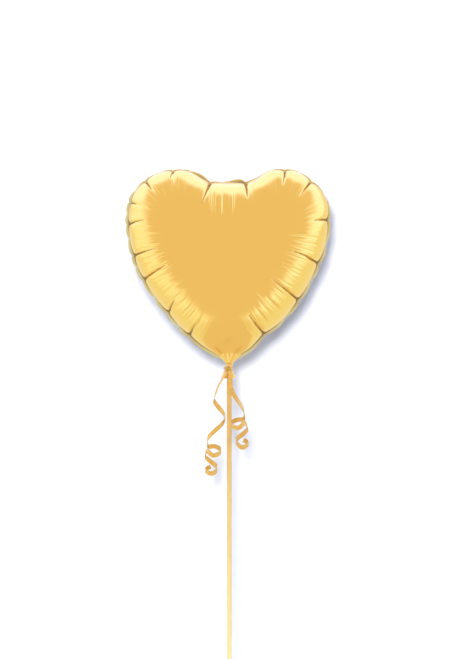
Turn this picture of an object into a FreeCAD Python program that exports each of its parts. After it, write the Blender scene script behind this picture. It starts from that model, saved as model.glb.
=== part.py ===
import FreeCAD, Part
import math
import os
import Sketcher
from FreeCAD import Placement, Rotation, Vector

# Heart-shaped foil balloon on a plastic stick, tied at the neck with one piece of curling ribbon.
# Millimetres, +Z up. The origin is the centre of the stick's foot, and the front faces -Y.

doc = FreeCAD.newDocument("foil_heart_balloon")

# Driving dimensions. Heights are above the stick's foot; a "rise" is above the heart's tip.
DIMENSIONS = {
    # stick: a plastic tube whose top end is drawn down to go inside the foil neck
    "stick_length": 400, "stick_radius": 2.4, "bore_radius": 1.5,
    "shoulder_height": 384.5, "shoulder_rise": 1.5, "spigot_radius": 2.0,
    # heart: outline of the welded seam, right half, from the tip up over the lobe to the cleft
    "tip_height": 404, "centre_rise": 115,
    "side_x": 89, "side_rise": 93, "side_radius": 163,
    "lobe_x": 69, "lobe_rise": 191, "lobe_radius": 66,
    "cleft_x": 26, "cleft_rise": 183, "shoulder_arc": 42, "cleft_radius": 86,
    # inflated foil: half of the thickness, and the modelled thickness of one panel
    "bulge_depth": 42, "foil": 0.9, "seam_thickness": 0.5, "inner_scale": 0.988,
    "full_scale": 1, "rim_scale": 0.963, "low_scale": 0.895, "low_depth": 0.37,
    "mid_scale": 0.685, "mid_depth": 0.71, "high_scale": 0.405, "high_depth": 0.91,
    "crown_scale": 0.145, "crown_depth": 0.985,
    # self-sealing valve: two flat films inside the heart, above the neck
    "film_half_width": 9, "film_root_rise": 9, "film_top_rise": 74, "film": 0.4, "film_gap": 0.25,
    # foil neck between the tie and the heart, where the balloon bends
    "neck_low": 400.6, "neck_waist": 402.2, "neck_high": 403.6,
    "neck_end_radius": 0.8, "neck_radius": 3.2,
    # foil tail: the two panels' fill tail, gathered round the stick under the tie
    "tail_low": 388, "tail_top": 399.3, "tail_bore": 2.3, "tail_radius": 3.0, "tail_flare": 5.9,
    "tail_gather_height": 394,
    # ribbon: the turns round the neck, the knot in front, and two curled ends
    "wrap_low": 395.4, "wrap_turn": 1.2, "wrap_radius": 3.7, "wrap_groove": 0.3,
    "knot_x": -1.8, "knot_y": -6.4, "knot_height": 397.4,
    "knot_half_width": 4.4, "knot_half_depth": 2.3, "knot_half_height": 2.4,
    "ribbon_radius": 2.5, "left_curl_radius": 8, "right_curl_radius": 7.5,
}
WRAP_TURNS = 3

sheet = doc.addObject("Spreadsheet::Sheet", "Sizes")
for row, (alias, value) in enumerate(DIMENSIONS.items(), start=1):
    sheet.set(f"A{row}", alias)
    sheet.set(f"B{row}", str(value))
    sheet.setAlias(f"B{row}", alias)
doc.recompute()


def size(alias):
    """A driving dimension, read from the sheet."""
    return float(sheet.get(alias))


def value_of(expression):
    """What an expression comes to; lengths are in millimetres."""
    return float(sheet.evalExpression(expression))


def origin_feature(body, role):
    """The body's own origin plane or axis with this role."""
    return next(f for f in body.Origin.OriginFeatures if f.Role == role)


def new_body(label):
    body = doc.addObject("PartDesign::Body", label)
    body.Label = label
    return body


def new_sketch(body, name, offset=None):
    """A sketch on the body's XZ plane, where local x is X, local y is Z and the normal is -Y."""
    sketch = body.newObject("Sketcher::SketchObject", name)
    sketch.AttachmentSupport = [(origin_feature(body, "XZ_Plane"), "")]
    sketch.MapMode = "FlatFace"
    if offset:
        sketch.setExpression("AttachmentOffset.Base.z", offset)
    return sketch


def bind(sketch, kind, geometry, point, start, expression):
    """Hold one coordinate of a point, or a radius where point is None, to an expression."""
    if point is None:
        index = sketch.addConstraint(Sketcher.Constraint(kind, geometry, start))
    else:
        index = sketch.addConstraint(Sketcher.Constraint(kind, -1, 1, geometry, point, start))
    sketch.setExpression(f"Constraints[{index}]", expression)


def ccw_arc(start, end, radius):
    """Arc of less than half a turn, anticlockwise from start to end."""
    chord = end - start
    across = Vector(-chord.y, chord.x, 0)
    across.normalize()
    rise = math.sqrt(radius**2 - (chord.Length / 2) ** 2)
    centre = (start + end) * 0.5 + across * rise
    first = math.atan2(start.y - centre.y, start.x - centre.x)
    last = math.atan2(end.y - centre.y, end.x - centre.x)
    if last < first:
        last += 2 * math.pi
    return Part.ArcOfCircle(Part.Circle(centre, Vector(0, 0, 1), radius), first, last)


# Points of the outline's right half, as (x, rise) pairs of sheet names; the tip lies on the axis.
OUTLINE = [(None, None), ("side_x", "side_rise"), ("lobe_x", "lobe_rise"), ("cleft_x", "cleft_rise")]
OUTLINE_RADII = ["side_radius", "lobe_radius", "shoulder_arc"]


def heart_sketch(body, name, scale, offset):
    """The heart's outline of seven arcs, scaled about its centre; scale and offset are expressions."""
    sketch = new_sketch(body, name, offset)
    doc.recompute()
    factor = value_of(scale)
    centre = size("centre_rise")

    def place(x, rise, sign):
        across = size(x) if x else 0
        up = size(rise) if rise else 0
        return Vector(sign * across * factor, size("tip_height") + centre + (up - centre) * factor, 0)

    def height(rise):
        up = f"Sizes.{rise}" if rise else "0"
        return f"Sizes.tip_height + Sizes.centre_rise + ({up} - Sizes.centre_rise) * {scale}"

    right = [place(x, rise, 1) for x, rise in OUTLINE]
    left = [place(x, rise, -1) for x, rise in OUTLINE]
    radii = [size(r) * factor for r in OUTLINE_RADII]
    arcs = [ccw_arc(right[i], right[i + 1], radii[i]) for i in range(3)]
    arcs.append(ccw_arc(left[3], right[3], size("cleft_radius") * factor))
    arcs += [ccw_arc(left[i + 1], left[i], radii[i]) for i in (2, 1, 0)]
    for arc in arcs:
        sketch.addGeometry(arc, False)
    start, end = 1, 2
    joins = [(0, end, 1, start), (1, end, 2, start), (2, end, 3, end), (3, start, 4, start),
             (4, end, 5, start), (5, end, 6, start), (6, end, 0, start)]
    for join in joins:
        sketch.addConstraint(Sketcher.Constraint("Coincident", *join))
    sketch.addConstraint(Sketcher.Constraint("PointOnObject", 0, start, -2))
    bind(sketch, "DistanceY", 0, start, right[0].y, height(None))
    for i, (x, rise) in enumerate(OUTLINE[1:]):
        bind(sketch, "DistanceX", i, end, right[i + 1].x, f"Sizes.{x} * {scale}")
        bind(sketch, "DistanceY", i, end, right[i + 1].y, height(rise))
        sketch.addConstraint(Sketcher.Constraint("Symmetric", i, end, 6 - i, start, -2))
    for i, radius in enumerate(OUTLINE_RADII):
        bind(sketch, "Radius", i, None, radii[i], f"Sizes.{radius} * {scale}")
        bind(sketch, "Radius", 6 - i, None, radii[i], f"Sizes.{radius} * {scale}")
    bind(sketch, "Radius", 3, None, size("cleft_radius") * factor, f"Sizes.cleft_radius * {scale}")
    return sketch


def foil_panel(label, side):
    """One inflated panel: a flat seam allowance and a thin dome; side is "" for front, "-" for rear."""
    body = new_body(label)
    seam = heart_sketch(body, label + "_seam", "Sizes.rim_scale", f"{side}0 mm")
    stations = ["low", "mid", "high", "crown"]
    outer = [seam]
    for name in stations:
        depth = f"{side}Sizes.bulge_depth * Sizes.{name}_depth"
        outer.append(heart_sketch(body, f"{label}_{name}", f"Sizes.{name}_scale", depth))
    dome = body.newObject("PartDesign::AdditiveLoft", label + "_dome")
    dome.Profile = outer[0]
    dome.Sections = outer[1:]
    edge = heart_sketch(body, label + "_flange_outline", "Sizes.full_scale", f"{side}0 mm")
    flange = body.newObject("PartDesign::Pad", label + "_flange")
    flange.Profile = edge
    flange.setExpression("Length", "Sizes.seam_thickness")
    flange.Reversed = side == "-"
    inner = [heart_sketch(body, label + "_hollow_rim", "Sizes.rim_scale * Sizes.inner_scale", f"{side}0 mm")]
    for name in stations:
        depth = f"{side}(Sizes.bulge_depth - Sizes.foil) * Sizes.{name}_depth"
        scale = f"Sizes.{name}_scale * Sizes.inner_scale"
        inner.append(heart_sketch(body, f"{label}_hollow_{name}", scale, depth))
    hollow = body.newObject("PartDesign::SubtractiveLoft", label + "_hollow")
    hollow.Profile = inner[0]
    hollow.Sections = inner[1:]
    return body


def polygon_sketch(body, name, points):
    """A closed polygon; each point is a pair of expressions for local x and y."""
    sketch = new_sketch(body, name)
    doc.recompute()
    places = [Vector(value_of(x), value_of(y), 0) for x, y in points]
    count = len(points)
    for i in range(count):
        sketch.addGeometry(Part.LineSegment(places[i], places[(i + 1) % count]), False)
    for i in range(count):
        sketch.addConstraint(Sketcher.Constraint("Coincident", i, 2, (i + 1) % count, 1))
    for i, (x, y) in enumerate(points):
        bind(sketch, "DistanceX", i, 1, places[i].x, x)
        bind(sketch, "DistanceY", i, 1, places[i].y, y)
    return sketch


def turned(label, points, angle=360, reverse=False):
    """A body turned about the stick's axis from a half profile of (radius, height) expressions."""
    body = new_body(label)
    sketch = polygon_sketch(body, label + "_profile", points)
    spin = body.newObject("PartDesign::Revolution", label + "_turning")
    spin.Profile = sketch
    spin.ReferenceAxis = (sketch, ["V_Axis"])
    spin.Angle = angle
    spin.Reversed = reverse
    return body


def half_pair(name, points):
    """The same gathered piece of the front and of the rear panel, each half a turn round the stick."""
    front = turned(f"front_{name}", points, 180, True)
    rear = turned(f"rear_{name}", points, 180, False)
    return [front, rear]


def valve_film(label, side):
    """One flat film of the self-sealing valve, with its root narrowed to fit into the tip."""
    body = new_body(label)
    half, root, top = "Sizes.film_half_width", "Sizes.film_root_rise", "Sizes.film_top_rise"
    corners = [
        (f"-{half} / 4", f"Sizes.tip_height + {root}"),
        (f"{half} / 4", f"Sizes.tip_height + {root}"),
        (half, f"Sizes.tip_height + {root} + {half}"),
        (half, f"Sizes.tip_height + {top}"),
        (f"-{half}", f"Sizes.tip_height + {top}"),
        (f"-{half}", f"Sizes.tip_height + {root} + {half}"),
    ]
    sketch = polygon_sketch(body, label + "_outline", corners)
    sketch.setExpression("AttachmentOffset.Base.z", f"{side}Sizes.film_gap")
    pad = body.newObject("PartDesign::Pad", label + "_sheet")
    pad.Profile = sketch
    pad.setExpression("Length", "Sizes.film")
    pad.Reversed = side == "-"
    return body


def balloon_stick():
    """The stick: a hollow tube with a drawn-down top end and an open foot."""
    bore, outside, spigot = "Sizes.bore_radius", "Sizes.stick_radius", "Sizes.spigot_radius"
    return turned("balloon_stick", [
        (bore, "0"),
        (outside, "0"),
        (outside, "Sizes.shoulder_height"),
        (spigot, "Sizes.shoulder_height + Sizes.shoulder_rise"),
        (spigot, "Sizes.stick_length"),
        (bore, "Sizes.stick_length"),
    ])


def foil_neck():
    """The necked foil between the tie and the heart: a spindle in two halves."""
    return half_pair("foil_neck", [
        ("0", "Sizes.neck_low"),
        ("Sizes.neck_end_radius", "Sizes.neck_low"),
        ("Sizes.neck_radius", "Sizes.neck_waist"),
        ("Sizes.neck_end_radius", "Sizes.neck_high"),
        ("0", "Sizes.neck_high"),
    ])


def foil_tail():
    """The fill tail: held tight round the stick inside the tie, and flared below it."""
    thickness = "Sizes.foil"
    return half_pair("foil_tail", [
        ("Sizes.tail_bore", "Sizes.tail_gather_height"),
        (f"Sizes.tail_flare - {thickness}", "Sizes.tail_low"),
        ("Sizes.tail_flare", "Sizes.tail_low"),
        ("Sizes.tail_radius", "Sizes.tail_gather_height"),
        ("Sizes.tail_radius", "Sizes.tail_top"),
        ("Sizes.tail_bore", "Sizes.tail_top"),
    ])


def ribbon_wrap():
    """The ribbon's turns round the gathered neck, one above the other."""
    groove = "Sizes.wrap_radius - Sizes.wrap_groove"
    points = [("Sizes.tail_radius", "Sizes.wrap_low")]
    for turn in range(WRAP_TURNS):
        low = f"Sizes.wrap_low + {turn} * Sizes.wrap_turn"
        points.append((groove, low))
        points.append(("Sizes.wrap_radius", f"{low} + Sizes.wrap_turn / 2"))
    top = f"Sizes.wrap_low + {WRAP_TURNS} * Sizes.wrap_turn"
    points += [(groove, top), ("Sizes.tail_radius", top)]
    return turned("ribbon_wrap", points)


def ribbon_knot():
    """The knot: a flattened lump in front of the turns, cut away where it lies on them."""
    lump = doc.addObject("Part::Ellipsoid", "knot_lump")
    lump.setExpression("Radius1", "Sizes.knot_half_height")
    lump.setExpression("Radius2", "Sizes.knot_half_width")
    lump.setExpression("Radius3", "Sizes.knot_half_depth")
    lump.setExpression("Placement.Base.x", "Sizes.knot_x")
    lump.setExpression("Placement.Base.y", "Sizes.knot_y")
    lump.setExpression("Placement.Base.z", "Sizes.knot_height")
    neck = doc.addObject("Part::Cylinder", "knot_seat")
    neck.setExpression("Radius", "Sizes.wrap_radius")
    neck.setExpression("Height", "Sizes.stick_length")
    knot = doc.addObject("Part::Cut", "ribbon_knot")
    knot.Base = lump
    knot.Tool = neck
    return knot


# Routes of the ribbon's two ends, by hand: from the knot down to the top of the curls, and the
# middle line of the curls from there to the cut end.
LEFT_LEAD = [Vector(-4.6, -7.0, 392.6), Vector(-6.1, -7.6, 386.0), Vector(-9.5, -8.8, 378.0),
             Vector(-10.4, -9.0, 370.0)]
LEFT_CURL = [Vector(-10.4, -9.0, 369.7), Vector(-15.0, -10.0, 329.0), Vector(-17.8, -9.4, 289.5)]
RIGHT_LEAD = [Vector(1.2, -7.0, 392.6), Vector(2.3, -7.5, 386.0), Vector(6.6, -9.5, 378.0),
              Vector(7.6, -10.0, 370.0)]
RIGHT_CURL = [Vector(7.6, -10.0, 369.7), Vector(11.0, -11.6, 343.0), Vector(13.8, -10.6, 315.5)]
ARC_SHARE = 0.45


def route_wire(points):
    """Straight runs joined by tangent arcs, with each arc as large as its two runs allow."""
    edges, radii = [], []
    here = points[0]
    for before, corner, after in zip(points, points[1:], points[2:]):
        into = (corner - before).normalize()
        out = (after - corner).normalize()
        turn = into.getAngle(out)
        reach = ARC_SHARE * min((corner - before).Length, (after - corner).Length)
        radius = reach / math.tan(turn / 2)
        first = corner - into * reach
        last = corner + out * reach
        bisector = (out - into).normalize()
        middle = corner + bisector * (radius / math.cos(turn / 2) - radius)
        edges.append(Part.LineSegment(here, first).toShape())
        edges.append(Part.Arc(first, middle, last).toShape())
        radii.append(radius)
        here = last
    edges.append(Part.LineSegment(here, points[-1]).toShape())
    return Part.Wire(edges), radii


def ribbon_tube(label, points, radius_alias):
    """A round tube along a route; its volume is compared with its section times its length."""
    wire, radii = route_wire(points)
    spine = doc.addObject("Part::Feature", label + "_route")
    spine.Shape = wire
    section = doc.addObject("Part::Circle", label + "_section")
    section.setExpression("Radius", f"Sizes.{radius_alias}")
    facing = Rotation(Vector(0, 0, 1), points[1] - points[0])
    section.Placement = Placement(points[0], facing)
    tube = doc.addObject("Part::Sweep", label)
    tube.Sections = [section]
    tube.Spine = (spine, [f"Edge{i + 1}" for i in range(len(wire.Edges))])
    tube.Solid = True
    doc.recompute()
    expected = math.pi * size(radius_alias) ** 2 * wire.Length
    print(label, "arc radii", [round(r, 1) for r in radii], "length", round(wire.Length, 1),
          "volume ratio", round(tube.Shape.Volume / expected, 4))
    return tube


pieces = [
    foil_panel("front_foil_panel", ""),
    foil_panel("rear_foil_panel", "-"),
    valve_film("valve_front_film", ""),
    valve_film("valve_rear_film", "-"),
    balloon_stick(),
    ribbon_wrap(),
    ribbon_knot(),
    ribbon_tube("left_ribbon_lead", LEFT_LEAD, "ribbon_radius"),
    ribbon_tube("left_ribbon_curl", LEFT_CURL, "left_curl_radius"),
    ribbon_tube("right_ribbon_lead", RIGHT_LEAD, "ribbon_radius"),
    ribbon_tube("right_ribbon_curl", RIGHT_CURL, "right_curl_radius"),
]
pieces += foil_neck()
pieces += foil_tail()
doc.recompute()

for item in doc.Objects:
    if "Invalid" in item.State or "Error" in item.State:
        raise RuntimeError(f"{item.Label} failed: {item.State}")
for piece in pieces:
    shape = piece.Shape
    if shape.isNull() or not shape.isValid() or not shape.Solids:
        raise RuntimeError(f"{piece.Label} has no valid solid")
    box = shape.BoundBox
    print(f"{piece.Label}: {shape.Volume:.0f} mm3, {len(shape.Solids)} solid,",
          f"x {box.XMin:.1f}..{box.XMax:.1f} y {box.YMin:.1f}..{box.YMax:.1f} z {box.ZMin:.1f}..{box.ZMax:.1f}")

os.makedirs("parts", exist_ok=True)
for piece in pieces:
    piece.Shape.exportStep(f"parts/{piece.Label}.step")
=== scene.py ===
# A heart-shaped gold foil balloon on a plastic stick, tied at the neck with curling ribbon.
# Metres, +Z up, front towards -Y, the origin at the centre of the stick's foot.
import math

import bpy
import numpy as np
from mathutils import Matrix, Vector


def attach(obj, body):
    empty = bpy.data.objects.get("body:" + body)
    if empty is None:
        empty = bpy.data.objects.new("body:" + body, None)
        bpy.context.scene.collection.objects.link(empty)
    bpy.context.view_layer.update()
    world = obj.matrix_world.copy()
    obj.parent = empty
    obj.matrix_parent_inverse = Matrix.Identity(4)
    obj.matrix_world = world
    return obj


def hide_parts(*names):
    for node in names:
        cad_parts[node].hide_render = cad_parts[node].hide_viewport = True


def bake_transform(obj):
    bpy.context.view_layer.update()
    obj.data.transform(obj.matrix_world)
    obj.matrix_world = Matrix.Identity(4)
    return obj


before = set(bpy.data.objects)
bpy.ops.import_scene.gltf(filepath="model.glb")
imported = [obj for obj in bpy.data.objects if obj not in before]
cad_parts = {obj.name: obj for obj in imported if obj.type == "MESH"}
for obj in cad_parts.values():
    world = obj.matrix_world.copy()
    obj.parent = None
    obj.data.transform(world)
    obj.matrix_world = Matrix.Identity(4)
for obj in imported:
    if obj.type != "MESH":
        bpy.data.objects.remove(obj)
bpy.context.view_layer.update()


# The two foil panels ----------------------------------------------------------------------------
# Two heart-shaped sheets of metallised nylon film, heat welded together along a flat margin and
# blown up with air. The film can't stretch, so the weld gathers: sharp pleats run in from it, one
# from the front panel, then one from the rear, with taut pillows and fine straight wrinkles between.
MM = 0.001  # the sizes of the pieces are in millimetres
TIP_HEIGHT = 404.0
MIDDLE = np.array([0.0, 106.0])  # x and the rise above the tip, as for every place on the heart
HALF_THICKNESS = 40.5
FULLNESS = 1.6  # a higher power stands the film up more steeply beside the weld
WELD_WIDTH = 4.6
WELD_NARROWING = 0.25  # over the lobes' tops, between these two rises
NARROWS_FROM = 165
NARROWEST_AT = 185
COLUMNS = 960  # points round the heart
INWARD_SMOOTHING = 16  # columns
# The weld's outer edge, from the tip up the left side: x and the rise above the tip.
WELD_EDGE = [
    (-1, 0), (-21, 9), (-42, 24), (-66, 50), (-87, 79), (-98, 104), (-103, 130),
    (-103.5, 150), (-98, 168), (-83, 183.5), (-62, 192.3), (-42, 191.5), (-22, 182.5), (1, 180),
    (24, 183), (38, 191), (53, 193.3), (69, 191), (86, 179.5), (98, 164), (101.8, 143),
    (98, 114), (88, 89), (72, 60.5), (54, 39), (36, 24), (20, 9.5),
]
# The front panel's pleats, in order from the tip: where each starts on the weld, where it runs out
# inside the panel, and its depth at the weld.
FRONT_PLEATS = [
    (-41, 26, -33, 39, 2.6), (-63, 48, -54, 62, 2.6), (-86, 82, -62, 96, 3.0),
    (-97, 106, -71, 113, 2.8), (-101, 138, -83, 141, 2.6), (-99, 159, -92, 157, 1.6),
    (-83, 179, -76, 170, 2.4), (-56, 192, -59, 181, 2.4), (-19, 179, -27, 157, 3.4),
    (16, 180, 18.5, 162, 3.0), (56, 192, 53, 176, 2.4), (81, 179, 70, 165, 2.8),
    (98, 142, 83, 140.5, 2.8), (88, 99, 60, 111, 3.0), (70, 61, 42, 82, 3.2), (36, 27, 19, 47, 3.2),
]


def closed_curve(points, count):
    """A smooth closed curve through the points: evenly spaced samples, and its length."""
    around = np.array(points, float)
    fine = []
    for i in range(len(around)):
        p0, p1, p2, p3 = (around[(i + k) % len(around)] for k in (-1, 0, 1, 2))
        for t in np.linspace(0, 1, 24, endpoint=False):
            fine.append(p1 + 0.5 * t * (p2 - p0 + t * (2 * p0 - 5 * p1 + 4 * p2 - p3
                                                       + t * (3 * (p1 - p2) + p3 - p0))))
    closed = np.array(fine + fine[:1])
    travelled = np.concatenate([[0], np.cumsum(np.linalg.norm(np.diff(closed, axis=0), axis=1))])
    wanted = np.linspace(0, travelled[-1], count, endpoint=False)
    return np.column_stack([np.interp(wanted, travelled, closed[:, k]) for k in (0, 1)]), travelled[-1]


def smooth_round(values, reach):
    """A closed row of vectors, averaged over neighbours up to reach away."""
    kernel = np.hanning(2 * reach + 3)[1:-1]
    kernel /= kernel.sum()
    padded = np.concatenate([values[-reach:], values, values[:reach]])
    return np.column_stack([np.convolve(column, kernel, mode="valid") for column in padded.T])


def unit(vectors):
    """Each vector at a length of 1."""
    return vectors / np.linalg.norm(vectors, axis=1)[:, None]


def ramp(values, begin, full):
    """0 as far as begin, then rising evenly to 1 at full."""
    return np.clip((values - begin) / (full - begin), 0, 1)


edge, perimeter = closed_curve(WELD_EDGE, COLUMNS)
column_place = np.arange(COLUMNS) / COLUMNS * perimeter
forward = np.roll(edge, -1, axis=0) - np.roll(edge, 1, axis=0)
inward = unit(smooth_round(unit(np.column_stack([forward[:, 1], -forward[:, 0]])), INWARD_SMOOTHING))
weld_width = WELD_WIDTH * (1 - WELD_NARROWING * ramp(edge[:, 1], NARROWS_FROM, NARROWEST_AT))[:, None]
rim = edge + inward * weld_width

# A sheet under pressure over this rim: a bowl, and the pull of points outside the rim, which are
# weighted so that the two add up to nothing all along it.
LENGTH_SCALE = 100.0
SOURCE_GAP = 26.0
SOURCE_EVERY = 8  # columns
NECK_END = np.array([0.0, 4.0])
NECK_HOLD = 0.6  # how much of the height the neck takes away at its end
NECK_REACH = 20.0
outside = (rim - inward * SOURCE_GAP)[::SOURCE_EVERY]


def bowl(places):
    """A bowl upside down over the middle of the heart."""
    return -((places - MIDDLE) ** 2).sum(axis=1) / LENGTH_SCALE**2


def pull_terms(places):
    """The pull of each point outside the rim at each place, and an even one."""
    apart = np.linalg.norm(places[:, None] - outside[None], axis=2)
    return np.column_stack([np.log(apart / LENGTH_SCALE), np.ones(len(places))])


pull = np.linalg.lstsq(pull_terms(rim), -bowl(rim), rcond=1e-8)[0]


def pressure_share(places):
    """0 on the rim and 1 at the middle of the heart."""
    top = bowl(MIDDLE[None]) + pull_terms(MIDDLE[None]) @ pull
    return np.clip((bowl(places) + pull_terms(places) @ pull) / top, 0, 1)


def blown_height(places):
    """How far the smooth panel stands off the weld's plane; the neck holds it in at the tip."""
    held = 1 - NECK_HOLD * np.exp(-(((places - NECK_END) ** 2).sum(axis=1) / NECK_REACH**2))
    return HALF_THICKNESS * held * np.sqrt(np.clip(1 - (1 - pressure_share(places)) ** FULLNESS, 0, 1))


def uphill(function, places, step=0.25):
    """The slope of a function of place, as a vector at each place."""
    right, up = np.array([step, 0]), np.array([0, step])
    return np.column_stack([function(places + right) - function(places - right),
                            function(places + up) - function(places - up)]) / (2 * step)


# Lines run in from the rim, straight uphill and never crossing, for the length of the wrinkles.
LINE_START = 0.02
LINE_STEP = 0.5
LINE_REACH = 44.0
lines = [rim + inward * LINE_START]
for _ in range(int(LINE_REACH / LINE_STEP)):
    lines.append(lines[-1] + unit(uphill(pressure_share, lines[-1])) * LINE_STEP)
lines = np.array(lines)

# How far in each row of points lies: about a millimetre apart over the curved film, then wider.
ROW_STEP = 1.05
TYPICAL_RADIUS = 95.0
fine_in = np.linspace(0, LINE_REACH, 900)
fine_lift = HALF_THICKNESS * np.sqrt(1 - (1 - fine_in / TYPICAL_RADIUS) ** (2 * FULLNESS))
fine_arc = np.concatenate([[0], np.cumsum(np.hypot(np.diff(fine_in), np.diff(fine_lift)))])
edge_rows = np.interp(np.arange(0, fine_arc[-1], ROW_STEP), fine_arc, fine_in)
INNER_ROWS = 15
INNER_SPREAD = 1.25  # 1 spaces the inner rows evenly
inner_shares = 1 - (1 - np.arange(1, INNER_ROWS + 1) / (INNER_ROWS + 1)) ** INNER_SPREAD


def places_at(distance):
    """The points of all the lines, this far in from the rim."""
    step = min(distance / LINE_STEP, len(lines) - 1.001)
    low = int(step)
    return lines[low] * (low + 1 - step) + lines[low + 1] * (step - low)


def place_on_edge(x, rise):
    """How far along the weld the point nearest to (x, rise) lies."""
    return column_place[np.argmin(np.hypot(edge[:, 0] - x, edge[:, 1] - rise))]


def off_line(line):
    """Each column's distance along the weld from a place on it, the short way round."""
    return (column_place - line + perimeter / 2) % perimeter - perimeter / 2


def share_between(pleats):
    """For each column: the share of the way from one pleat to the next, and how far apart they are."""
    starts = np.array([pleat[0] for pleat in pleats])
    index = np.searchsorted(starts, column_place, side="right") - 1
    low = np.where(index < 0, starts[-1] - perimeter, starts[index])
    high = np.where(index == len(starts) - 1, starts[0] + perimeter, starts[(index + 1) % len(starts)])
    return (column_place - low) / (high - low), high - low


def arch(share, power):
    """0 at both ends of a span and 1 in its middle; a lower power makes it fuller."""
    return (4 * share * (1 - share)) ** power


SHORTEST_PLEAT = 4.0


def pleat_from(x, rise, inner_x, inner_rise, depth):
    """A pleat's place on the weld, its length inwards, its lean along the weld and its depth."""
    start = place_on_edge(x, rise)
    apart = np.hypot(lines[..., 0] - inner_x, lines[..., 1] - inner_rise)
    row, column = np.unravel_index(np.argmin(apart), apart.shape)
    return start, max(row * LINE_STEP, SHORTEST_PLEAT), off_line(start)[column], depth


# Each rear pleat starts about half-way between two front ones.
front_pleats = sorted(pleat_from(*pleat) for pleat in FRONT_PLEATS)
draw = np.random.RandomState(11)
rear_pleats = []
for number, pleat in enumerate(front_pleats):
    is_last = number + 1 == len(front_pleats)
    after = front_pleats[(number + 1) % len(front_pleats)][0] + perimeter * is_last
    place = pleat[0] + (after - pleat[0]) * draw.uniform(0.42, 0.58)
    length = draw.uniform(9, 26)
    lean = draw.uniform(-4, 4)
    depth = draw.uniform(2.2, 3.2)
    rear_pleats.append((place % perimeter, length, lean, depth))
rear_pleats.sort()

# The weld's own line: drawn in a little at each pleat of either panel, and swung to the front at a
# front pleat and to the rear at a rear one.
DRAW_IN = 2.1
SWAY = 1.8
USUAL_GAP = 16  # from a front pleat to the next rear one
weld_share, weld_gap = share_between(sorted(front_pleats + rear_pleats))
draw_in = DRAW_IN * (1 - arch(weld_share, 0.6)) * np.clip(weld_gap / USUAL_GAP, 0.4, 1.2)
sway = -SWAY * np.cos(2 * math.pi * share_between(front_pleats)[0])

# Round the lobes the film stands fuller over the weld, and lower down, where it turns out of the
# weld, a crease of painted shade darkens it: each between two rises.
LOBE_FULLNESS = 0.5
lobe_fullness = 1 + LOBE_FULLNESS * ramp(edge[:, 1], 120, 170)
painted_crease_shade = ramp(edge[:, 1], 172, 147)

# Beside the cleft the weld is folded: its edge stands up as a lip, with a narrow gutter painted dark
# as shade between the lip and the front panel. For each gutter: x and rise of its middle, and half its
# length.
GUTTERS = [(-32, 189, 12), (6, 180.5, 10)]
gutter = np.zeros(COLUMNS)
for x, rise, half_length in GUTTERS:
    gutter += np.exp(-((off_line(place_on_edge(x, rise)) / half_length) ** 6))

# Between two pleats of a panel the film swells to a pillow, highest beside the weld. A pleat is a
# groove, twice as wide at the weld as where it runs out, with painted shade along its bottom.
PILLOW_HEIGHT = 2.4
PILLOW_REACH = 10
PILLOW_LENGTH = 2 * USUAL_GAP
GROOVE_WIDTH = 0.42
# the width of the painted shade along a pleat's bottom
PAINTED_SHADE_WIDTH = 0.54


def pleat_relief(pleats, distance):
    """Height of the pillows less the depth of the pleats, and the shade painted along each pleat's bottom.
    """
    share, gap = share_between(pleats)
    fade = math.exp(-((distance / PILLOW_REACH) ** 2))
    out = PILLOW_HEIGHT * fade * arch(share, 0.5) * np.clip(gap / PILLOW_LENGTH, 0.35, 1.1)
    out *= lobe_fullness
    shade = np.zeros(COLUMNS)
    for start, length, lean, depth in pleats:
        near = 1 - distance / length
        if near <= 0:
            continue
        off = np.abs(off_line(start + lean * distance / length))
        out -= depth * near**0.6 * np.exp(-off / (GROOVE_WIDTH + GROOVE_WIDTH * near))
        # painted shade, darkest along a pleat's bottom near the weld
        shade = np.maximum(shade, near**0.35 * np.exp(-((off / PAINTED_SHADE_WIDTH) ** 2)))
    return out, shade


def wrinkle_power(place):
    """Strong along the lower sides and more so in the cleft, weaker round the lobes and at the tip."""
    x, rise = edge[int(place / perimeter * COLUMNS) % COLUMNS]
    if rise < 26:
        return 0.25
    if rise < 125:
        return 1.5 if x > 0 else 1.1
    return 1.9 if abs(x) < 20 else 0.5


def fine_wrinkles(seed):
    """Fine straight wrinkles: place on the weld, where each begins and ends, its width and height."""
    chance = np.random.RandomState(seed)
    found = []
    place = 0.0
    while place < perimeter:
        power = wrinkle_power(place)
        begin = chance.uniform(3, 9)
        end = begin + chance.uniform(10, 16) + 16 * power * chance.uniform(0.4, 1)
        height = chance.uniform(0.12, 0.42) * power * chance.choice([-1, 1, 1])
        width = chance.uniform(0.6, 1.0)
        found.append((place, begin, end, width, height))
        place += chance.uniform(1.2, 2.7)
    return found


# The rows of points across the weld: the share of the way in, how far the lip stands out and how
# deep the gutter lies there, and how dark the painted shade in the gutter and the crease is.
WELD_ROWS = [(0.0, 2.4, 0.0, 0.0, 0.0), (0.2, 2.1, 0.3, 0.1, 0.0),
             (0.45, 0.9, 2.2, 0.95, 0.05), (0.75, 0.0, 2.4, 0.9, 0.75)]
HALF_FILM = 0.06  # half the weld's thickness
TURN_UP = 0.05  # the film turns up out of the weld this close to the rim
RELIEF_FULL = 0.6  # pillows, pleats and wrinkles have their full height from here on
SWAY_REACH = 7
# How dark the painted shade of the crease is, and how far along the film it fades.
PAINTED_CREASE_DARKNESS = 0.85
PAINTED_CREASE_WIDTH = 2.4  # along the film


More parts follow.
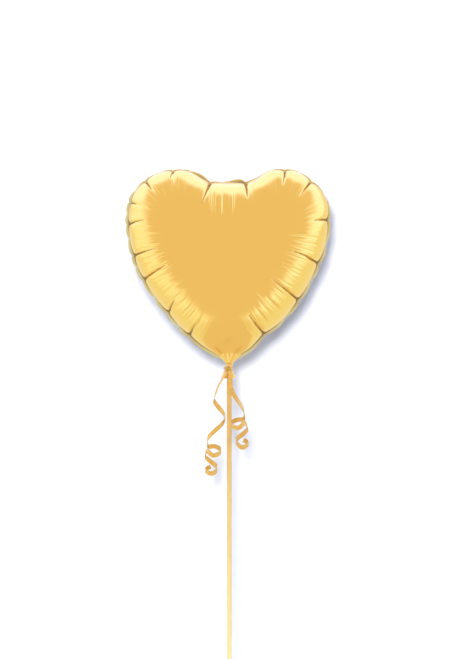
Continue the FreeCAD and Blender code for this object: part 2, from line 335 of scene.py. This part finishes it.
def panel_rings(side, pleats, wrinkles):
    """The finished panel's rings, weld first, and the shade painted on each point."""
    rings, shades = [], []
    for part, lip, sink, painted_gutter_dark, painted_crease_dark in WELD_ROWS:
        drawn = (draw_in - lip * gutter) * (1 - part)
        flat = edge + inward * drawn[:, None] + inward * weld_width * part
        depth = sway * (1.3 - 0.3 * part) + side * HALF_FILM + sink * gutter
        rings.append(np.column_stack([flat[:, 0], depth, flat[:, 1]]))
        # painted shade in the gutter and along the crease
        shades.append(np.maximum(painted_gutter_dark * gutter, painted_crease_dark * painted_crease_shade))
    for row, distance in enumerate(edge_rows):
        flat = places_at(distance)
        slope = uphill(blown_height, flat)
        steep = np.column_stack([-slope[:, 0], np.full(COLUMNS, side), -slope[:, 1]])
        if distance < TURN_UP:
            steep = np.column_stack([-inward[:, 0], np.full(COLUMNS, side * 0.1), -inward[:, 1]])
        out, shade = pleat_relief(pleats, distance)
        out *= min(1, distance / RELIEF_FULL)
        for place, begin, end, width, height in wrinkles:
            if begin < distance < end:
                swell = math.sin(math.pi * (distance - begin) / (end - begin)) ** 0.7
                out += height * swell * np.exp(-((off_line(place) / width) ** 2))
        depth = side * blown_height(flat) + sway * math.exp(-((distance / SWAY_REACH) ** 2))
        ring = np.column_stack([flat[:, 0], depth, flat[:, 1]])
        rings.append(ring + unit(steep) * out[:, None])
        # painted shade along the crease, fading over the first rows of the film
        painted_crease_fade = math.exp(-((row * ROW_STEP / PAINTED_CREASE_WIDTH) ** 2))
        shades.append(np.maximum(shade, painted_crease_shade * PAINTED_CREASE_DARKNESS * painted_crease_fade))
    last = places_at(edge_rows[-1])
    for share in inner_shares:
        flat = last + (MIDDLE - last) * share
        rings.append(np.column_stack([flat[:, 0], side * blown_height(flat), flat[:, 1]]))
        shades.append(np.zeros(COLUMNS))
    return rings, shades


def mesh_object(name, points, faces):
    """A smooth-shaded mesh object from points in millimetres."""
    mesh = bpy.data.meshes.new(name)
    mesh.from_pydata([tuple(float(value) * MM for value in point) for point in points], [], faces)
    mesh.polygons.foreach_set("use_smooth", [True] * len(mesh.polygons))
    mesh.update()
    made = bpy.data.objects.new(name, mesh)
    bpy.context.scene.collection.objects.link(made)
    return made


FEWEST_POINTS = 120


def panel_object(name, side, pleats, wrinkles):
    """Join the rings and the middle; past the wrinkles every third ring halves its points."""
    rings, shades = panel_rings(side, pleats, wrinkles)
    points, dark, faces, starts, counts = [], [], [], [], []
    count = COLUMNS
    for number, (ring, shade) in enumerate(zip(rings, shades)):
        if number > len(rings) - INNER_ROWS and number % 3 == 0 and count > FEWEST_POINTS:
            count //= 2
        starts.append(len(points))
        counts.append(count)
        points.extend(ring[::COLUMNS // count])
        dark.extend(shade[::COLUMNS // count])
    for k in range(len(rings) - 1):
        outer, inner, many, few = starts[k], starts[k + 1], counts[k], counts[k + 1]
        for i in range(few):
            j = (i + 1) % few
            if many == few:
                faces.append((outer + i, outer + j, inner + j, inner + i))
            else:
                faces.append((outer + 2 * i, outer + 2 * i + 1, inner + i))
                faces.append((outer + 2 * i + 1, outer + (2 * i + 2) % many, inner + j, inner + i))
    points.append((MIDDLE[0], side * HALF_THICKNESS, MIDDLE[1]))
    dark.append(0.0)
    last, many, middle = starts[-1], counts[-1], len(points) - 1
    faces += [(last + i, last + (i + 1) % many, middle) for i in range(many)]
    if side < 0:
        faces = [face[::-1] for face in faces]
    made = mesh_object(name, [(x, y, rise + TIP_HEIGHT) for x, y, rise in points], faces)
    # The pleat attribute carries the painted shade of the pleats, gutters and creases.
    made.data.attributes.new("pleat", "FLOAT", "POINT").data.foreach_set("value", dark)
    welded = [1.0 if i < starts[len(WELD_ROWS)] else 0.0 for i in range(len(points))]
    made.data.attributes.new("weld", "FLOAT", "POINT").data.foreach_set("value", welded)
    return made


front_panel = panel_object("front_panel_film", -1, front_pleats, fine_wrinkles(3))
rear_panel = panel_object("rear_panel_film", 1, rear_pleats, fine_wrinkles(5))


def linear(code):
    """An sRGB hex colour as linear RGBA."""
    parts = [int(code[i:i + 2], 16) / 255 for i in (1, 3, 5)]
    return tuple(c / 12.92 if c <= 0.04045 else ((c + 0.055) / 1.055) ** 2.4 for c in parts) + (1.0,)


def new_material(name):
    """An empty node material, and its tree."""
    material = bpy.data.materials.new(name)
    material.use_nodes = True
    material.node_tree.nodes.clear()
    return material, material.node_tree


def add_node(tree, kind, settings=None, **inputs):
    """Add a node, make its settings, and link or set its inputs: Base_Color, or i0 for the first."""
    node = tree.nodes.new(kind)
    for key, value in (settings or {}).items():
        setattr(node, key, value)
    for key, value in inputs.items():
        socket = node.inputs[int(key[1:])] if key[1:].isdigit() else node.inputs[key.replace("_", " ")]
        if isinstance(value, bpy.types.NodeSocket):
            tree.links.new(value, socket)
        else:
            socket.default_value = value
    return node


# Gold-tinted metallised nylon film: a thin metal mirror hazed by the film over it, so it reflects
# softly; in pleat bottoms, gutters and creases it is painted dark as shade; the weld is pressed duller.
# The haze varies in patches about 22 mm across.
HAZE_PER_MM = 0.045
foil, tree = new_material("gold_metallised_film")
where = add_node(tree, "ShaderNodeTexCoord").outputs["Object"]
pleat = add_node(tree, "ShaderNodeAttribute", {"attribute_name": "pleat"}).outputs["Fac"]
weld = add_node(tree, "ShaderNodeAttribute", {"attribute_name": "weld"}).outputs["Fac"]
haze = add_node(tree, "ShaderNodeTexNoise", Vector=where, Scale=HAZE_PER_MM / MM,
                Detail=5.0).outputs["Fac"]
rough = add_node(tree, "ShaderNodeMapRange", Value=haze, To_Min=0.15, To_Max=0.21).outputs[0]
rough = add_node(tree, "ShaderNodeMix", {"data_type": "FLOAT"}, i0=weld, i2=rough, i3=0.42).outputs[0]
tint = add_node(tree, "ShaderNodeMix", {"data_type": "RGBA"}, i0=weld, i6=linear("#F5C362"),
                i7=linear("#E4D698")).outputs[2]
# Painted shade: the pleat attribute mixes in a dark brown, rough and not metallic.
tint = add_node(tree, "ShaderNodeMix", {"data_type": "RGBA"}, i0=pleat, i6=tint,
                i7=linear("#5E4A1A")).outputs[2]
rough = add_node(tree, "ShaderNodeMix", {"data_type": "FLOAT"}, i0=pleat, i2=rough, i3=0.8).outputs[0]
bare = add_node(tree, "ShaderNodeMath", {"operation": "SUBTRACT"}, i0=1.0, i1=pleat).outputs[0]
shader = add_node(tree, "ShaderNodeBsdfPrincipled", Base_Color=tint, Metallic=bare, Roughness=rough,
                  Specular_IOR_Level=0.1, Coat_Weight=0.1, Coat_Roughness=0.1)
add_node(tree, "ShaderNodeOutputMaterial", Surface=shader.outputs[0])
for panel, node in ((front_panel, "front_foil_panel"), (rear_panel, "rear_foil_panel")):
    panel.data.materials.append(foil)
    panel.visible_diffuse = False  # its gold isn't thrown on the backdrop and the ribbon
    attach(panel, "balloon")
    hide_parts(node)


# The ribbon's two ends --------------------------------------------------------------------------
# Flat polypropylene curling ribbon, left long at the knot and drawn over a blade, so each end
# hangs in loose turns that tighten towards its cut.
RIBBON_WIDTH = 4.5
RIBBON_THICKNESS = 0.2
RIBBON_CUP = 0.25  # how far its middle stands above its edges
RIBBON_LANES = 7  # points across it
RIBBON_STEP = 0.8  # from one row of points to the next
HALF_TURN_LENGTH = 20
CURL_DEPTH = 0.75  # the curls are flattened a little, front to rear
# Routes: from under the knot, where the end comes out, down the middle of the curls.
LEFT_ROUTE = [(-3.4, -6.6, 395.6), (-4.6, -7.0, 392.6), (-6.1, -7.6, 386.0), (-9.5, -8.8, 378.0),
              (-10.4, -9.0, 370.0), (-15.0, -10.0, 329.0), (-17.8, -9.4, 289.5)]
RIGHT_ROUTE = [(0.2, -6.6, 395.6), (1.0, -7.0, 392.6), (0.8, -7.2, 386.0), (1.4, -8.0, 378.0),
               (4.6, -9.6, 370.0), (11.0, -11.6, 343.0), (13.8, -10.6, 315.5)]
# The curls, by the half turn: the height of the ribbon there, and its distance from the route.
LEFT_CURLS = [
    (-0.24, 395.6, 0.1), (-0.15, 384, 2.0), (-0.09, 372, 3.6), (0.5, 360, 6.4), (1, 348, 8.7),
    (1.5, 336, 7.6), (2, 325, 6.7), (2.22, 319.6, 6.4), (2.5, 320.0, 6.8), (3, 315.8, 7.6),
    (3.5, 311.4, 7.8), (3.82, 315.6, 7.0), (4.08, 310.6, 8.0), (4.5, 303.4, 6.4), (5, 297.8, 4.8),
    (5.5, 293.2, 5.6), (6, 297, 6.4), (6.4, 299.6, 4.6),
]
RIGHT_CURLS = [
    (-0.5, 395.6, 0.1), (-0.49, 386, 0.4), (-0.45, 374, 1.5), (-0.3, 366, 5.0), (0, 353.5, 6.4),
    (0.26, 347.0, 6.4), (0.5, 346.6, 7.2), (1, 342.8, 9.0), (1.4, 338.7, 9.0), (1.8, 344.0, 6.0),
    (2.05, 338.5, 7.4), (2.5, 331, 6.4), (3, 325, 5.6), (3.5, 319.3, 5.4), (4, 323.6, 5.9),
    (4.4, 326.2, 4.8),
]


def route_points(name, route):
    """Points read from the route's own smooth curve, in millimetres."""
    data = bpy.data.curves.new(name + "_route", "CURVE")
    data.dimensions = "3D"
    data.resolution_u = 24
    spline = data.splines.new("NURBS")
    spline.points.add(len(route) - 1)
    for point, place in zip(spline.points, route):
        point.co = (*[value * MM for value in place], 1)
    spline.order_u = 3
    spline.use_endpoint_u = True
    holder = bpy.data.objects.new(name + "_route", data)
    bpy.context.scene.collection.objects.link(holder)
    bpy.context.view_layer.update()
    mesh = bpy.data.meshes.new_from_object(holder)
    points = np.array([vertex.co[:] for vertex in mesh.vertices]) / MM
    bpy.data.objects.remove(holder)
    return points


def eased(places, values, wanted):
    """Values on a smooth curve through the given ones."""
    slopes = np.gradient(values, places)
    index = np.clip(np.searchsorted(places, wanted, side="right") - 1, 0, len(places) - 2)
    span = places[index + 1] - places[index]
    t = (wanted - places[index]) / span
    return ((2 * t**3 - 3 * t**2 + 1) * values[index] + (t**3 - 2 * t**2 + t) * span * slopes[index]
            + (3 * t**2 - 2 * t**3) * values[index + 1] + (t**3 - t**2) * span * slopes[index + 1])


def curled_ribbon(name, route, curls, hand, body, nodes):
    """A flat ribbon that turns about its route; hand is 1 if it passes left to right in front."""
    middle = route_points(name, route)
    falling = middle[np.argsort(middle[:, 2])]
    half_turns, heights, radii = np.array(curls).T
    gaps = np.hypot(np.diff(heights), np.diff(half_turns) * HALF_TURN_LENGTH)
    travelled = np.concatenate([[0], np.cumsum(gaps)])
    wanted = np.linspace(0, travelled[-1], int(travelled[-1] / RIBBON_STEP))
    turns = eased(travelled, half_turns, wanted)
    height = eased(travelled, heights, wanted)
    radius = eased(travelled, radii, wanted)
    angle = math.pi * turns if hand > 0 else -math.pi * (1 + turns)
    face = np.column_stack([np.cos(angle), np.sin(angle), np.zeros(len(angle))])
    across = np.interp(height, falling[:, 2], falling[:, 0])
    deep = np.interp(height, falling[:, 2], falling[:, 1])
    path = np.column_stack([across, deep, height]) + face * (radius[:, None] * (1, CURL_DEPTH, 0))
    run = unit(np.gradient(path, axis=0))
    width_way = unit(np.cross(run, face))
    face = unit(np.cross(width_way, run))
    points, faces = [], []
    lanes = np.linspace(-0.5, 0.5, RIBBON_LANES)
    for place, wide, thick in zip(path, width_way, face):
        for surface in (0.5, -0.5):
            for lane in lanes * surface * 2:
                cup = RIBBON_CUP * (1 - (2 * lane) ** 2)
                lift = surface * RIBBON_THICKNESS + cup
                points.append(place + wide * lane * RIBBON_WIDTH + thick * lift)
    ring = 2 * len(lanes)
    for i in range(len(path) - 1):
        for k in range(ring):
            after = (k + 1) % ring
            faces.append((i * ring + k, (i + 1) * ring + k, (i + 1) * ring + after, i * ring + after))
    faces.append(tuple(range(ring)))
    faces.append(tuple(reversed(range((len(path) - 1) * ring, len(path) * ring))))
    made = mesh_object(name, points, faces)
    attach(made, body)
    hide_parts(*nodes)
    return made


left_ribbon = curled_ribbon("left_ribbon_end", LEFT_ROUTE, LEFT_CURLS, -1, "left_ribbon",
                            ["left_ribbon_lead", "left_ribbon_curl"])
right_ribbon = curled_ribbon("right_ribbon_end", RIGHT_ROUTE, RIGHT_CURLS, 1, "right_ribbon",
                             ["right_ribbon_lead", "right_ribbon_curl"])

# Embossed polypropylene ribbon, gold, with a soft satin gloss; the embossing's fine ripple of sheen is
# painted into the colour as lighter and darker gold. The embossing is finer than shows here, so it is drawn
# 2 mm from crest to crest.
EMBOSSING = 2.0
satin, tree = new_material("gold_polypropylene_ribbon")
where = add_node(tree, "ShaderNodeTexCoord").outputs["Object"]
painted_embossing_sheen = add_node(tree, "ShaderNodeTexNoise", Vector=where, Scale=1 / (EMBOSSING * MM),
                 Detail=3.0).outputs["Fac"]
# Painted sheen: the embossing's ripple as lighter and darker gold.
tint = add_node(tree, "ShaderNodeMix", {"data_type": "RGBA"}, i0=painted_embossing_sheen, i6=linear("#C9943A"),
                i7=linear("#EBBB5C")).outputs[2]
shader = add_node(tree, "ShaderNodeBsdfPrincipled", Base_Color=tint, Metallic=0.6, Roughness=0.33,
                  Coat_Weight=0.4, Coat_Roughness=0.15)
add_node(tree, "ShaderNodeOutputMaterial", Surface=shader.outputs[0])
for ribbon in (left_ribbon, right_ribbon):
    ribbon.data.materials.append(satin)


# The neck ---------------------------------------------------------------------------------------
# The heart's tip narrows to a tab of the same film, which is gathered into pleats by the ribbon
# and flares out again below it.
NECK_PLEATS = 11
NECK_THICKNESS = 0.14
HALF_ROUND_POINTS = 90
RAGGED_FROM = 393  # below this height the film wanders up and down, most at the tail's cut edge
RAGGED_LENGTH = 5
RAGGED_DEPTH = 0.9


def gathered_film(name, rings, first, last, nodes):
    """Part of a pleated tube of film: (height, half width, half depth, pleat depth) from its top down."""
    angles = np.linspace(math.radians(first), math.radians(last), HALF_ROUND_POINTS)
    points = []
    for surface in (0, NECK_THICKNESS):
        for height, half_width, half_depth, ripple in rings:
            ragged = RAGGED_DEPTH * max(0.0, (RAGGED_FROM - height) / RAGGED_LENGTH)
            for angle in angles:
                wave = ripple * (abs(math.sin(angle * NECK_PLEATS / 2 + 0.4)) ** 0.7 - 0.6)
                swing = 0.35 * ripple * math.sin(3 * angle + 1 + height * 0.11)
                points.append(((half_width + wave + swing - surface) * math.cos(angle),
                               (half_depth + wave + swing - surface) * math.sin(angle),
                               height + ragged * math.sin(2 * angle + 0.8)))
    many, layer = len(angles), len(angles) * len(rings)
    faces = []
    for row in range(len(rings) - 1):
        for i in range(many - 1):
            a, b = row * many + i, (row + 1) * many + i
            faces += [(a, b, b + 1, a + 1), (layer + a, layer + a + 1, layer + b + 1, layer + b)]
    for row in range(len(rings) - 1):
        for i, turn in ((0, 1), (many - 1, -1)):
            a, b = row * many + i, (row + 1) * many + i
            faces.append((a, layer + a, layer + b, b)[::turn])
    for row, turn in ((0, -1), (len(rings) - 1, 1)):
        for i in range(many - 1):
            a = row * many + i
            faces.append((a, layer + a, layer + a + 1, a + 1)[::turn])
    made = mesh_object(name, points, faces)
    for attribute in ("pleat", "weld"):
        made.data.attributes.new(attribute, "FLOAT", "POINT")
    made.data.materials.append(foil)
    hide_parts(*nodes)
    return made


def spread(rings, count):
    """Rings on a smooth curve through the given ones."""
    table = np.array(rings, float)[::-1]
    wanted = np.linspace(table[0, 0], table[-1, 0], count)[::-1]
    return list(zip(wanted, *(eased(table[:, 0], column, wanted) for column in table.T[1:])))


FUNNEL = spread([(419, 18.5, 8.0, 0.1), (417, 16.8, 8.0, 0.3), (414, 14.2, 7.4, 0.8),
                 (411, 11.3, 6.5, 1.0), (408, 8.2, 5.4, 1.0), (405, 5.3, 4.2, 0.8),
                 (402.2, 3.1, 3.1, 0.5)], 22)
COLLAR = spread([(402.2, 3.1, 3.1, 0.5), (400.6, 2.9, 2.9, 0.4), (399.0, 2.8, 2.8, 0.3)], 6)
SKIRT = spread([(399.3, 2.85, 2.85, 0.3), (395.5, 2.9, 2.9, 0.3), (393.2, 3.7, 3.6, 0.6),
                (388.0, 5.4, 5.2, 1.3)], 22)
for half, first, last in (("front", 180, 360), ("rear", 0, 180)):
    funnel = gathered_film(half + "_neck_film_upper", FUNNEL, first, last, [half + "_foil_neck"])
    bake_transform(funnel)
    collar = gathered_film(half + "_neck_film_lower", COLLAR, first, last, [half + "_foil_neck"])
    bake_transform(collar)
    skirt = gathered_film(half + "_tail_film", SKIRT, first, last, [half + "_foil_tail"])
    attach(skirt, "tie")


# The ribbon's turns and knot ----------------------------------------------------------------------
# The same ribbon, pulled tight three times round the neck, which bunches it to a narrow band, and
# closed in front with an overhand knot, whose ends are the two curls.
BAND_POINTS = 16  # round its section


def swept_band(name, path, outwards, half_width, half_thickness, closed):
    """A band with a rounded section, swept along a path with its face turned outwards."""
    path = np.array(path, float)
    if closed:
        run = unit(np.roll(path, -1, axis=0) - np.roll(path, 1, axis=0))
    else:
        run = unit(np.gradient(path, axis=0))
    outwards = unit(outwards - (outwards * run).sum(axis=1)[:, None] * run)
    wide = np.cross(run, outwards)
    around = np.linspace(0, 2 * math.pi, BAND_POINTS, endpoint=False)
    points = [place + w * math.cos(angle) * half_width + o * math.sin(angle) * half_thickness
              for place, w, o in zip(path, wide, outwards) for angle in around]
    many, faces = len(around), []
    for i in range(len(path) - (0 if closed else 1)):
        for k in range(many):
            a, b = i * many, (i + 1) % len(path) * many
            faces.append((a + k, a + (k + 1) % many, b + (k + 1) % many, b + k))
    if not closed:
        faces.append(tuple(reversed(range(many))))
        faces.append(tuple(range((len(path) - 1) * many, len(path) * many)))
    made = mesh_object(name, points, faces)
    made.data.materials.append(satin)
    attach(made, "tie")
    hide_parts(name.replace("_band", ""))


WRAP_TURNS = 3
TURN_POINTS = 72
WRAP_BOTTOM = 396.0
WRAP_TOP = 398.5
WRAP_RADIUS = 3.45
WRAP_WAVE = 0.12
turn_angle = np.linspace(-math.pi / 2, -math.pi / 2 + 2 * math.pi * WRAP_TURNS, TURN_POINTS * WRAP_TURNS)
outwards = np.column_stack([np.cos(turn_angle), np.sin(turn_angle), np.zeros(len(turn_angle))])
wrap_path = outwards * (WRAP_RADIUS + WRAP_WAVE * np.sin(turn_angle * 5))[:, None]
wrap_path[:, 2] = np.linspace(WRAP_BOTTOM, WRAP_TOP, len(turn_angle)) + WRAP_WAVE * np.sin(turn_angle * 2)
swept_band("ribbon_wrap_band", wrap_path, outwards, half_width=0.72, half_thickness=0.3, closed=False)

# An overhand knot's three lobes: a closed trefoil path, its face turned away from its middle.
KNOT_MIDDLE = np.array([-1.8, -5.9, 397.3])
KNOT_POINTS = 150
KNOT_ACROSS = 1.15
KNOT_DEEP = 1.7
KNOT_HIGH = 0.62
around = np.linspace(0, 2 * math.pi, KNOT_POINTS, endpoint=False)
knot_path = KNOT_MIDDLE + np.column_stack([KNOT_ACROSS * (np.sin(around) + 2 * np.sin(2 * around)),
                                           -KNOT_DEEP * np.sin(3 * around),
                                           KNOT_HIGH * (np.cos(around) - 2 * np.cos(2 * around))])
knot_face = knot_path - KNOT_MIDDLE + [0, -1.5, 0]
swept_band("ribbon_knot_band", knot_path, knot_face, half_width=1.0, half_thickness=0.5, closed=True)


# The valve ----------------------------------------------------------------------------------------
# Two strips of clear polyethylene film welded along their sides inside the neck; air pressure
# closes them on each other once the balloon is filled. The film is clear but a little milky, in
# ripples about 6 mm long.
FILM_RIPPLE = 6.25
film, tree = new_material("clear_polyethylene_film")
where = add_node(tree, "ShaderNodeTexCoord").outputs["Object"]
ripple = add_node(tree, "ShaderNodeTexNoise", Vector=where, Scale=1 / (FILM_RIPPLE * MM),
                  Detail=2.0).outputs["Fac"]
milky = add_node(tree, "ShaderNodeMapRange", Value=ripple, To_Min=0.16, To_Max=0.3).outputs[0]
shader = add_node(tree, "ShaderNodeBsdfPrincipled", Base_Color=linear("#EEF1F0"), Roughness=milky, IOR=1.51,
                  Transmission_Weight=0.85)
add_node(tree, "ShaderNodeOutputMaterial", Surface=shader.outputs[0])
for node in ("valve_front_film", "valve_rear_film"):
    for material_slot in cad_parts[node].material_slots:
        material_slot.material = film


# The stick ----------------------------------------------------------------------------------------
# Extruded gold-tinted polyethylene tube, with the faint lengthwise lines the die leaves on it, drawn
# a little coarser than real so that they show. Near the neck its pale colour deepens in a painted
# reflection of the gold film in its gloss.
PAINTED_REFLECTION_FROM = 0.05  # metres up the stick
PAINTED_REFLECTION_FULL_AT = 0.36
DIE_LINES_PER_MM = 1.4
ALONG_STRETCH = 0.01
tube, tree = new_material("extruded_polyethylene_tube")
where = add_node(tree, "ShaderNodeTexCoord").outputs["Object"]
rise = add_node(tree, "ShaderNodeSeparateXYZ", Vector=where).outputs["Z"]
share = add_node(tree, "ShaderNodeMapRange", Value=rise, From_Min=PAINTED_REFLECTION_FROM,
                 From_Max=PAINTED_REFLECTION_FULL_AT).outputs[0]
# Painted reflection: the tube's pale colour turns deeper gold towards the neck.
tint = add_node(tree, "ShaderNodeMix", {"data_type": "RGBA"}, i0=share, i6=linear("#EBDA9A"),
                i7=linear("#D3A95A")).outputs[2]
long_way = add_node(tree, "ShaderNodeMapping", Vector=where, Scale=(1.0, 1.0, ALONG_STRETCH)).outputs[0]
die_lines = add_node(tree, "ShaderNodeTexNoise", Vector=long_way, Scale=DIE_LINES_PER_MM / MM,
                     Detail=2.0).outputs["Fac"]
rough = add_node(tree, "ShaderNodeMapRange", Value=die_lines, To_Min=0.3, To_Max=0.45).outputs[0]
bump = add_node(tree, "ShaderNodeBump", Height=die_lines, Strength=0.15, Distance=0.2 * MM).outputs[0]
shader = add_node(tree, "ShaderNodeBsdfPrincipled", Base_Color=tint, Roughness=rough, IOR=1.51, Normal=bump)
add_node(tree, "ShaderNodeOutputMaterial", Surface=shader.outputs[0])
for material_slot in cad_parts["balloon_stick"].material_slots:
    material_slot.material = tube


# The stage --------------------------------------------------------------------------------------
# A pale floor, a white backdrop close behind that takes the balloon's soft shadow, and a studio
# whose walls light the foil: evenly dim straight ahead, bright and cooler at the sides and above.
def stage_sheet(name, corners, material):
    """A flat sheet of the stage, which isn't mirrored in the foil."""
    mesh = bpy.data.meshes.new(name)
    mesh.from_pydata(corners, [], [(0, 1, 2, 3)])
    mesh.materials.append(material)
    made = bpy.data.objects.new(name, mesh)
    bpy.context.scene.collection.objects.link(made)
    made.visible_glossy = False


paint, tree = new_material("pale_floor_paint")
shader = add_node(tree, "ShaderNodeBsdfPrincipled", Base_Color=linear("#F1F0EE"), Roughness=0.85)
add_node(tree, "ShaderNodeOutputMaterial", Surface=shader.outputs[0])
FLOOR_SIDE = 0.8
floor_corners = [(x * FLOOR_SIDE, y * FLOOR_SIDE, 0) for x, y in ((-1, -1), (1, -1), (1, 1), (-1, 1))]
stage_sheet("floor", floor_corners, paint)

# White backdrop card, seen from its front only.
card, tree = new_material("white_backdrop_card")
white = add_node(tree, "ShaderNodeBsdfDiffuse", Color=linear("#F6F7FF"))
clear = add_node(tree, "ShaderNodeBsdfTransparent")
back = add_node(tree, "ShaderNodeNewGeometry").outputs["Backfacing"]
shader = add_node(tree, "ShaderNodeMixShader", i0=back, i1=white.outputs[0], i2=clear.outputs[0])
add_node(tree, "ShaderNodeOutputMaterial", Surface=shader.outputs[0])
CARD_SIDE = 1.2
CARD_TOP = 1.6
CARD_LEFT_Y = 0.100
CARD_RIGHT_Y = 0.010
stage_sheet("backdrop", [(-CARD_SIDE, CARD_LEFT_Y, 0), (CARD_SIDE, CARD_RIGHT_Y, 0),
                         (CARD_SIDE, CARD_RIGHT_Y, CARD_TOP), (-CARD_SIDE, CARD_LEFT_Y, CARD_TOP)], card)

world = bpy.data.worlds.new("studio")
world.use_nodes = True
tree = world.node_tree
tree.nodes.clear()
way = add_node(tree, "ShaderNodeTexCoord").outputs["Generated"]
# Each zone: which way it lies, and where it begins and is full.
zones = {}
for zone, axis, begins, full in (
    ("ahead", (0, -1, 0.28), 0.40, 0.62), ("behind", (0, 1, 0), 0.70, 0.90), ("right", (1, 0, 0), 0.1, 0.6),
    ("overhead", (0, 0, 1), -0.1, 0.8), ("beyond", (0.2, 1, -1.0), 0.0, 0.36),
):
    along = add_node(tree, "ShaderNodeVectorMath", {"operation": "DOT_PRODUCT"}, i0=way, i1=axis)
    zones[zone] = add_node(tree, "ShaderNodeMapRange", {"interpolation_type": "SMOOTHSTEP"},
                           Value=along.outputs["Value"], From_Min=begins, From_Max=full).outputs[0]
# The floor's dimness below narrows towards the sides.
spread_way = add_node(tree, "ShaderNodeVectorMath", {"operation": "ABSOLUTE"}, i0=way).outputs["Vector"]
sideways = add_node(tree, "ShaderNodeSeparateXYZ", Vector=spread_way).outputs["X"]
up = add_node(tree, "ShaderNodeSeparateXYZ", Vector=way).outputs["Z"]
NARROWING = 1.2
under = add_node(tree, "ShaderNodeMath", {"operation": "MULTIPLY_ADD"}, i0=sideways, i1=NARROWING, i2=up)
zones["dim"] = add_node(tree, "ShaderNodeMapRange", {"interpolation_type": "SMOOTHSTEP"},
                        Value=under.outputs[0], From_Min=-0.20, From_Max=-0.50).outputs[0]
for zone in ("ahead", "behind"):
    zones["dim"] = add_node(tree, "ShaderNodeMath", {"operation": "MAXIMUM"}, i0=zones["dim"],
                            i1=zones[zone]).outputs[0]
# The walls' own light, then each zone's over it: linear colours, as most are brighter than white.
light = (1.24, 1.46, 1.95, 1)
for zone, colour in (("right", (1.3, 1.66, 2.7, 1)), ("overhead", (1.55, 1.75, 3.5, 1)),
                     ("beyond", (1.02, 1.2, 1.35, 1)), ("dim", (0.94, 0.94, 0.94, 1))):
    light = add_node(tree, "ShaderNodeMix", {"data_type": "RGBA"}, i0=zones[zone], i6=light,
                     i7=colour).outputs[2]
background = add_node(tree, "ShaderNodeBackground", Color=light)
add_node(tree, "ShaderNodeOutputWorld", Surface=background.outputs[0])
bpy.context.scene.world = world
world.cycles_visibility.diffuse = False
bpy.context.scene.view_settings.view_transform = "Standard"


def soft_light(name, place, target, size, power, tone=(0.9, 0.94, 1.0)):
    """A round soft lamp that lights the plastics and casts shadows, and isn't mirrored in the foil."""
    data = bpy.data.lights.new(name, "AREA")
    data.shape = "DISK"
    data.size = size
    data.energy = power
    data.color = tone
    lamp = bpy.data.objects.new(name, data)
    lamp.location = place
    lamp.rotation_mode = "QUATERNION"
    lamp.rotation_quaternion = (Vector(target) - Vector(place)).to_track_quat("-Z", "Y")
    lamp.visible_glossy = False
    bpy.context.scene.collection.objects.link(lamp)


soft_light("key", (-0.26, -2.9, 0.98), target=(0, 0, 0.45), size=0.7, power=74, tone=(1.0, 1.0, 1.0))
for name, place, size, power in (
    ("left_fill", (-2.0, -1.5, 0.9), 1.6, 14), ("right_fill", (2.0, -1.5, 0.9), 1.6, 14),
    ("rear_fill", (0.4, 2.6, 1.2), 1.8, 50), ("top_fill", (0, -0.3, 2.6), 1.8, 16),
):
    soft_light(name, place, (0, 0, 0.4), size, power)

# The camera stands well back, level with the lower part of the heart.
VIEW_HEIGHT = 0.659  # what it sees at the balloon, from bottom to top
CAMERA_X = -0.0012
CAMERA_HEIGHT = 0.4365
camera_data = bpy.data.cameras.new("camera")
camera_data.lens = 150
camera_data.sensor_width = 36
camera = bpy.data.objects.new("camera", camera_data)
distance = VIEW_HEIGHT * camera_data.lens / camera_data.sensor_width
camera.location = (CAMERA_X, -distance, CAMERA_HEIGHT)
camera.rotation_euler = (math.pi / 2, 0, 0)
bpy.context.scene.collection.objects.link(camera)
bpy.context.scene.camera = camera
